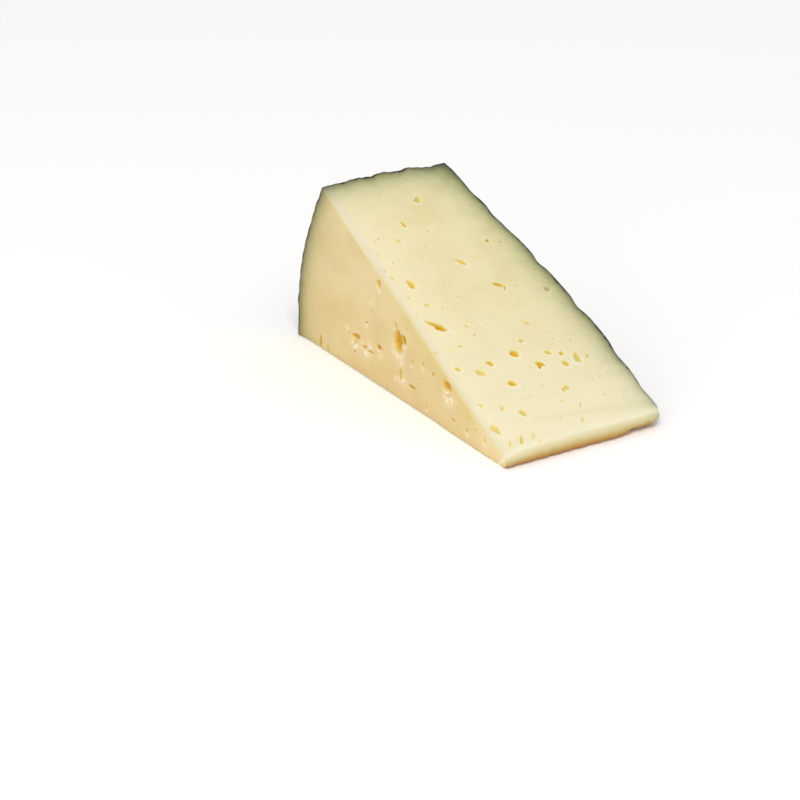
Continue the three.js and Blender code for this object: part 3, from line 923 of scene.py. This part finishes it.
def makeGrainGroup():
    # grain and soft patches, which paste and rind share
    tree = bpy.data.node_groups.new("cheeseGrain", "ShaderNodeTree")
    for name, kind in (("Place", "Vector"), ("GrainScale", "Float"), ("PatchScale", "Float")):
        tree.interface.new_socket(name, in_out="INPUT", socket_type="NodeSocket" + kind)
    for name in ("Grain", "Patches"):
        tree.interface.new_socket(name, in_out="OUTPUT", socket_type="NodeSocketFloat")
    bench = NodeBench(tree)
    start, end = bench.add("NodeGroupInput"), bench.add("NodeGroupOutput")
    place = start.outputs["Place"]
    grain = bench.noise(place, start.outputs["GrainScale"], detail=3.5, roughness=0.65)
    patches = bench.noise(place, start.outputs["PatchScale"], detail=3.5, roughness=0.6)
    bench.wire(grain, end.inputs["Grain"])
    bench.wire(patches, end.inputs["Patches"])
    return tree


def startMaterial(name, look, grainGroup):
    material = bpy.data.materials.new(name)
    material.use_nodes = True
    material.node_tree.nodes.clear()
    bench = NodeBench(material.node_tree)
    place = bench.add("ShaderNodeTexCoord").outputs["Object"]
    scales = {"GrainScale": look["grainScale"], "PatchScale": look["patchScale"]}
    grain = bench.group(grainGroup, Place=place, **scales)
    return material, bench, place, grain.outputs["Grain"], grain.outputs["Patches"]


def addShader(bench, colour, roughness, normal):
    shader = bench.add("ShaderNodeBsdfPrincipled")
    bench.wire(colour, shader.inputs["Base Color"])
    bench.wire(roughness, shader.inputs["Roughness"])
    bench.wire(normal, shader.inputs["Normal"])
    bench.wire(shader.outputs[0], bench.add("ShaderNodeOutputMaterial").inputs["Surface"])
    return shader


# The paste. Two numbers are where a mask starts and where it is full, and two more are its
# shares there. What is measured from an edge or upwards is in mm, and so is a reach.
pasteLook = {
    "paste": screenColour(231, 221, 177),
    "patches": screenColour(225, 212, 162),
    "patchRange": (0.38, 0.66),
    "nearHalving": screenColour(238, 227, 190),
    "nearHalvingReach": 12.0,
    "nearTip": screenColour(236, 227, 193),
    "band": (0.93, 0.955, 0.88, 1.0),  # left by the knife
    "bandSize": (0.06, 0.0032, 1),  # m
    "bandTurn": -7,  # degrees
    "bandRange": (0.47, 0.72),
    "bandShare": 0.85,
    "strip": screenColour(228, 220, 190),  # of the upper cut, along its edge
    "stripRange": (3.4, 1.0),
    "seam": screenColour(217, 204, 156),  # on the edge itself
    "seamRange": (1.15, 0.1),
    "seamHeight": (43.0, 24.0, 0.35, 1.0),
    # painted shade: dark streaks standing for the shade of fine drag grooves, only where the
    # knife dragged
    "streaks": (0.82, 0.84, 0.78, 1.0),
    "streakSize": (0.009, 0.0005, 1),
    "streakTurn": -14.4,
    "streakRange": (0.45, 0.62),
    # The halving cut's tan, darker and warmer low down, is partly the paste's own tone and partly
    # painted shade and warm reflected light.
    "halving": screenColour(228, 208, 157),
    "halvingLow": screenColour(226, 203, 148),
    "halvingLowRange": (24.0, 14.0),
    "halvingTip": screenColour(234, 213, 160),
    "halvingTipRange": (0.8, 0.98),
    "blotches": (0.955, 0.93, 0.88, 1.0),
    "blotchScale": 75,
    "blotchRange": (0.42, 0.66),
    "golden": (0.97, 0.98, 0.83, 1.0),
    # painted contact shade along the foot of the halving cut, with a painted warm reflection
    "baseShade": (0.86, 0.77, 0.7, 1.0),
    "baseShadeReach": 1.1,
    "dried": (0.46, 0.56, 0.36, 1.0),  # what the paste is multiplied by towards a rind
    "driedReach": 4.6,
    "dark": (0.22, 0.18, 0.26, 1.0),  # and again close to it
    "darkReach": 1.6,
    "wobbleScale": 260,
    "wobble": (0.2, 0.8, 0.75, 1.3),  # how uneven both fade
    "faint": (0.75, 0.95, 1.0, 0.6),  # how much of it is left at the tip
    "farCorner": (0.35, 0.55, 0.7, 1.0),  # where the two rinds meet
    "farCornerReach": 5.0,
    "rindLine": screenColour(58, 55, 34),
    "rindLineRange": (0.7, 0.25),
    "rindLineScale": 330,
    "rindLineWander": (0.35, 0.65, -0.35, 0.3),
    # painted highlight: a lighter, whiter band along the top of the nose's rounding, where it
    # turns towards the light
    "noseTop": screenColour(240, 235, 208),
    "noseTopShare": 0.55,
    "noseTopRise": (3.4, 5.2),
    "noseTopFall": (9.0, 5.5),
    # painted shade: the nose's front darkens down from its rounding, warm-tinted as painted
    # reflected light
    "shadedNoseFront": (0.68, 0.59, 0.33, 1.0),
    "shadedNoseFrontRange": (5.2, 1.7),
    # painted shade and a painted orange reflection on the nose's underside, next to the floor
    "shadedNoseFoot": (0.84, 0.47, 0.03, 1.0),
    "shadedNoseFootRange": (3.2, 0.5),
    # The eyes' golden colours, deeper in deeper eyes, are partly their own tint and partly
    # painted shade with a painted warm glow of light inside the hollow.
    "eye": screenColour(226, 201, 84),
    "eyeDeep": screenColour(224, 180, 28),
    "sideEye": screenColour(219, 187, 84),
    "sideEyeDeep": screenColour(213, 162, 32),
    "rindEye": screenColour(150, 143, 98),
    "rindEyeShare": 1.8,
    "eyeRange": (0.0, 0.7),
    "eyeDeepRange": (0.55, 1.0),
    # the white of crumbs, and painted highlights: glints below the halving cut's eyes and the lit
    # side of eye rims
    "whiteAndHighlight": screenColour(250, 241, 222),
    "paleShare": 0.75,
    "grainScale": 1400.0,
    "patchScale": 70.0,
    "grainBump": (0.25, 0.0002),  # strength, and height in m
    "dragSize": (0.016, 0.0011, 1),
    "dragTurn": -8,
    "dragBump": (0.15, 0.0003),
    "roughness": 0.5,
    "wetness": 0.2,  # how much smoother an eye or a crumb is
    "specular": 0.35,
    "subsurface": 0.5,
    "subsurfaceReach": 0.0012,  # m
    "subsurfaceRadius": (1.0, 0.8, 0.35),
}


def colourUpperCut(bench, place, patches, towardsTip, height):
    look = pasteLook
    fromHalving = bench.attribute("fromHalving")
    colour = bench.mix(bench.remap(patches, *look["patchRange"]), look["paste"], look["patches"])
    nearHalving = bench.fading(fromHalving, look["nearHalvingReach"])
    colour = bench.mix(nearHalving, colour, look["nearHalving"])
    colour = bench.mix(towardsTip, colour, look["nearTip"])
    bands = bench.streaks(place, look["bandSize"], look["bandTurn"])
    bandShare = bench.times(bench.remap(bands, *look["bandRange"]), look["bandShare"])
    colour = bench.tinted(colour, bench.times(bandShare, towardsTip), look["band"])
    colour = bench.mix(bench.remap(fromHalving, *look["stripRange"]), colour, look["strip"])
    onSeam = bench.remap(fromHalving, *look["seamRange"], smooth=False)
    onSeam = bench.times(onSeam, bench.remap(height, *look["seamHeight"]))
    colour = bench.mix(onSeam, colour, look["seam"])
    # painted shade of fine drag grooves, where the knife dragged
    streaks = bench.streaks(place, look["streakSize"], look["streakTurn"])
    streaks = bench.remap(streaks, *look["streakRange"])
    return bench.tinted(colour, bench.times(streaks, bench.attribute("dragShade")), look["streaks"])


def colourHalvingCut(bench, place, towardsTip, height):
    look = pasteLook
    # partly painted shade and warm reflected light, most of it low down
    low = bench.remap(height, *look["halvingLowRange"])
    colour = bench.mix(low, look["halving"], look["halvingLow"])
    blotches = bench.remap(bench.noise(place, look["blotchScale"]), *look["blotchRange"])
    colour = bench.tinted(colour, blotches, look["blotches"])
    colour = bench.tinted(colour, bench.attribute("golden"), look["golden"])
    atTip = bench.remap(towardsTip, *look["halvingTipRange"])
    colour = bench.mix(atTip, colour, look["halvingTip"])
    # painted contact shade and painted warm reflection along the foot of the halving cut
    return bench.tinted(colour, bench.fading(height, look["baseShadeReach"]), look["baseShade"])


def darkenTowardsRinds(bench, place, colour, towardsTip):
    # gives the colour, and how dried the paste is
    look = pasteLook
    wobble = bench.noise(place, look["wobbleScale"], detail=6.0, roughness=0.75)
    wobble = bench.remap(wobble, *look["wobble"], smooth=False)
    fromFlat = bench.times(bench.attribute("fromFlat"), wobble)
    fromRound = bench.times(bench.attribute("fromRound"), wobble)
    faint = bench.remap(towardsTip, *look["faint"])
    shares = {}
    for tint in ("dried", "dark"):
        reach = look[tint + "Reach"]
        clear = [bench.inverted(bench.fading(rind, reach)) for rind in (fromFlat, fromRound)]
        shares[tint] = bench.times(bench.inverted(bench.times(*clear)), faint)
        colour = bench.tinted(colour, shares[tint], look[tint])
    both = bench.math("ADD", fromFlat, fromRound)
    colour = bench.tinted(colour, bench.fading(both, look["farCornerReach"]), look["farCorner"])
    wander = bench.noise(place, look["rindLineScale"], roughness=0.6)
    wander = bench.remap(wander, *look["rindLineWander"])
    nearest = bench.math("ADD", bench.math("MINIMUM", fromFlat, fromRound), wander)
    line = bench.times(bench.remap(nearest, *look["rindLineRange"]), faint)
    return bench.mix(line, colour, look["rindLine"]), shares["dried"]


def colourNose(bench, colour, onHalving):
    look = pasteLook
    height = bench.attribute("noseHeight")
    # painted highlight along the top of the nose's rounding
    top = bench.times(
        bench.remap(height, *look["noseTopFall"]), bench.remap(height, *look["noseTopRise"])
    )
    colour = bench.mix(bench.times(top, look["noseTopShare"]), colour, look["noseTop"])
    onFront = bench.inverted(onHalving)
    # painted shade down the nose's front, and a painted orange reflection under it
    for tint in ("shadedNoseFront", "shadedNoseFoot"):
        share = bench.times(bench.remap(height, *look[tint + "Range"]), onFront)
        colour = bench.tinted(colour, share, look[tint])
    return colour


def colourEyes(bench, colour, hollow, whiteAndHighlight, onHalving, dried):
    look = pasteLook
    # partly painted shade: deeper eyes get the deeper golden colour
    deep = bench.remap(hollow, *look["eyeDeepRange"])
    eye = bench.mix(deep, look["eye"], look["eyeDeep"])
    sideEye = bench.mix(deep, look["sideEye"], look["sideEyeDeep"])
    eye = bench.mix(onHalving, eye, sideEye)
    eye = bench.mix(bench.times(dried, look["rindEyeShare"], clamp=True), eye, look["rindEye"])
    colour = bench.mix(bench.remap(hollow, *look["eyeRange"], smooth=False), colour, eye)
    # white crumbs, and painted highlights on eye rims and glints
    return bench.mix(bench.times(whiteAndHighlight, look["paleShare"]), colour, look["whiteAndHighlight"])


def makePaste(grainGroup):
    look = pasteLook
    material, bench, place, grain, patches = startMaterial("cheesePaste", look, grainGroup)
    towardsTip, height = bench.attribute("towardsTip"), bench.attribute("height")
    onHalving = bench.attribute("halving")
    hollow, whiteAndHighlight = bench.attribute("hollow"), bench.attribute("whiteAndHighlight")
    upper = colourUpperCut(bench, place, patches, towardsTip, height)
    halving = colourHalvingCut(bench, place, towardsTip, height)
    colour = bench.mix(onHalving, upper, halving)
    colour, dried = darkenTowardsRinds(bench, place, colour, towardsTip)
    colour = colourNose(bench, colour, onHalving)
    colour = colourEyes(bench, colour, hollow, whiteAndHighlight, onHalving, dried)

    normal = bench.bump(grain, *look["grainBump"])
    drag = bench.streaks(place, look["dragSize"], look["dragTurn"])
    normal = bench.bump(drag, *look["dragBump"], normal)
    wet = bench.math("MAXIMUM", hollow, whiteAndHighlight)
    smoother = look["roughness"] - look["wetness"]
    roughness = bench.remap(wet, 0.0, 1.0, look["roughness"], smoother, smooth=False)
    shader = addShader(bench, colour, roughness, normal)
    shader.inputs["Specular IOR Level"].default_value = look["specular"]
    shader.inputs["Subsurface Weight"].default_value = look["subsurface"]
    shader.inputs["Subsurface Radius"].default_value = look["subsurfaceRadius"]
    shader.inputs["Subsurface Scale"].default_value = look["subsurfaceReach"]
    return material


rindLook = {
    "strand": screenColour(98, 94, 72),
    "between": screenColour(36, 34, 25),
    "markRange": (0.05, 0.6),
    "patchRange": (0.4, 0.7),
    "dust": screenColour(150, 146, 124),
    "dustScale": 420,
    "dustRange": (0.55, 0.75),
    "dustShare": 0.55,
    "grainScale": 1900.0,
    "patchScale": 90.0,
    "fibreSize": (0.00067, 0.0038, 0.0038),  # m
    "fibreBump": (0.35, 0.0003),  # strength, and height in m
    "grainBump": (0.4, 0.0003),
    "roughness": (0.3, 0.7, 0.52, 0.77),  # of two places in the patches
}


def makeRind(grainGroup):
    look = rindLook
    material, bench, place, grain, patches = startMaterial("cheeseRind", look, grainGroup)
    marks = bench.remap(bench.attribute("marks"), *look["markRange"])
    colour = bench.mix(marks, look["strand"], look["between"])
    colour = bench.mix(bench.remap(patches, *look["patchRange"]), colour, look["between"])
    dust = bench.noise(place, look["dustScale"], detail=4.0, roughness=0.7)
    dust = bench.times(bench.remap(dust, *look["dustRange"]), bench.inverted(marks))
    colour = bench.mix(bench.times(dust, look["dustShare"]), colour, look["dust"])
    fibres = bench.streaks(place, look["fibreSize"], detail=3.0, roughness=0.6)
    normal = bench.bump(fibres, *look["fibreBump"])
    normal = bench.bump(grain, *look["grainBump"], normal)
    roughness = bench.remap(patches, *look["roughness"], smooth=False)
    addShader(bench, colour, roughness, normal)
    return material


cheese = makeWedge()
grainGroup = makeGrainGroup()
cheese.data.materials.append(makePaste(grainGroup))
cheese.data.materials.append(makeRind(grainGroup))
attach(cheese, "root")
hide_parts("cheese_wedge")
print("materials made")

studio = {
    "floor": screenColour(253, 253, 253),
    "floorSize": 4.0,  # m each way from the middle
    "floorRoughness": 0.9,
    "floorGlow": 0.06,
    "surround": (1.0, 1.0, 1.0, 1.0),
    "surroundStrength": 0.65,
}

floorMesh = bpy.data.meshes.new("studioFloor")
bm = bmesh.new()
bmesh.ops.create_grid(bm, x_segments=1, y_segments=1, size=studio["floorSize"])
bm.to_mesh(floorMesh)
bm.free()
floor = addObject("studioFloor", floorMesh)
floorMaterial = bpy.data.materials.new("studioFloor")
floorMaterial.use_nodes = True
floorShader = floorMaterial.node_tree.nodes["Principled BSDF"]
floorShader.inputs["Base Color"].default_value = studio["floor"]
floorShader.inputs["Roughness"].default_value = studio["floorRoughness"]
floorShader.inputs["Emission Color"].default_value = studio["floor"]
floorShader.inputs["Emission Strength"].default_value = studio["floorGlow"]
floorMesh.materials.append(floorMaterial)

world = bpy.data.worlds.new("studio")
bpy.context.scene.world = world
world.use_nodes = True
surround = world.node_tree.nodes["Background"]
surround.inputs["Color"].default_value = studio["surround"]
surround.inputs["Strength"].default_value = studio["surroundStrength"]

lamps = {
    # name: place, aim, size, power, colour
    "keyLamp": ((-0.55, -0.8, 1.4), (0, 0, 0.02), 0.6, 12.0, (1.0, 0.99, 0.97)),
    "sideLamp": ((-0.7, -0.35, 0.2), (0, 0, 0.02), 0.4, 0.5, (1.0, 0.8, 0.55)),
}


def addLamp(name, place, aim, size, power, colour):
    light = bpy.data.lights.new(name, "AREA")
    light.size = size
    light.energy = power
    light.color = colour
    lamp = addObject(name, light)
    lamp.location = place
    lamp.rotation_euler = (Vector(aim) - Vector(place)).to_track_quat("-Z", "Y").to_euler()


for name, settings in lamps.items():
    addLamp(name, *settings)

view = {
    "aim": (0.32, 49.52, 0.0),  # mm, from axisPlace
    "turn": 33.1,  # degrees about the vertical
    "tilt": 24.48,  # degrees down
    "roll": 0.56,
    "distance": 1.0582,  # m
    "lens": 180.0,
    "sensor": 36,
}
cameraData = bpy.data.cameras.new("camera")
cameraData.lens = view["lens"]
cameraData.sensor_width = view["sensor"]
camera = addObject("camera", cameraData)
camera.matrix_world = (
    Matrix.Translation((axisPlace + Vector(view["aim"])) / 1000)
    @ Matrix.Rotation(radians(-view["turn"]), 4, "Z")
    @ Matrix.Rotation(radians(90 - view["tilt"]), 4, "X")
    @ Matrix.Rotation(radians(view["roll"]), 4, "Z")
    @ Matrix.Translation((0, 0, view["distance"]))
)
bpy.context.scene.camera = camera
bpy.context.scene.view_settings.view_transform = "Standard"
print("studio ready")
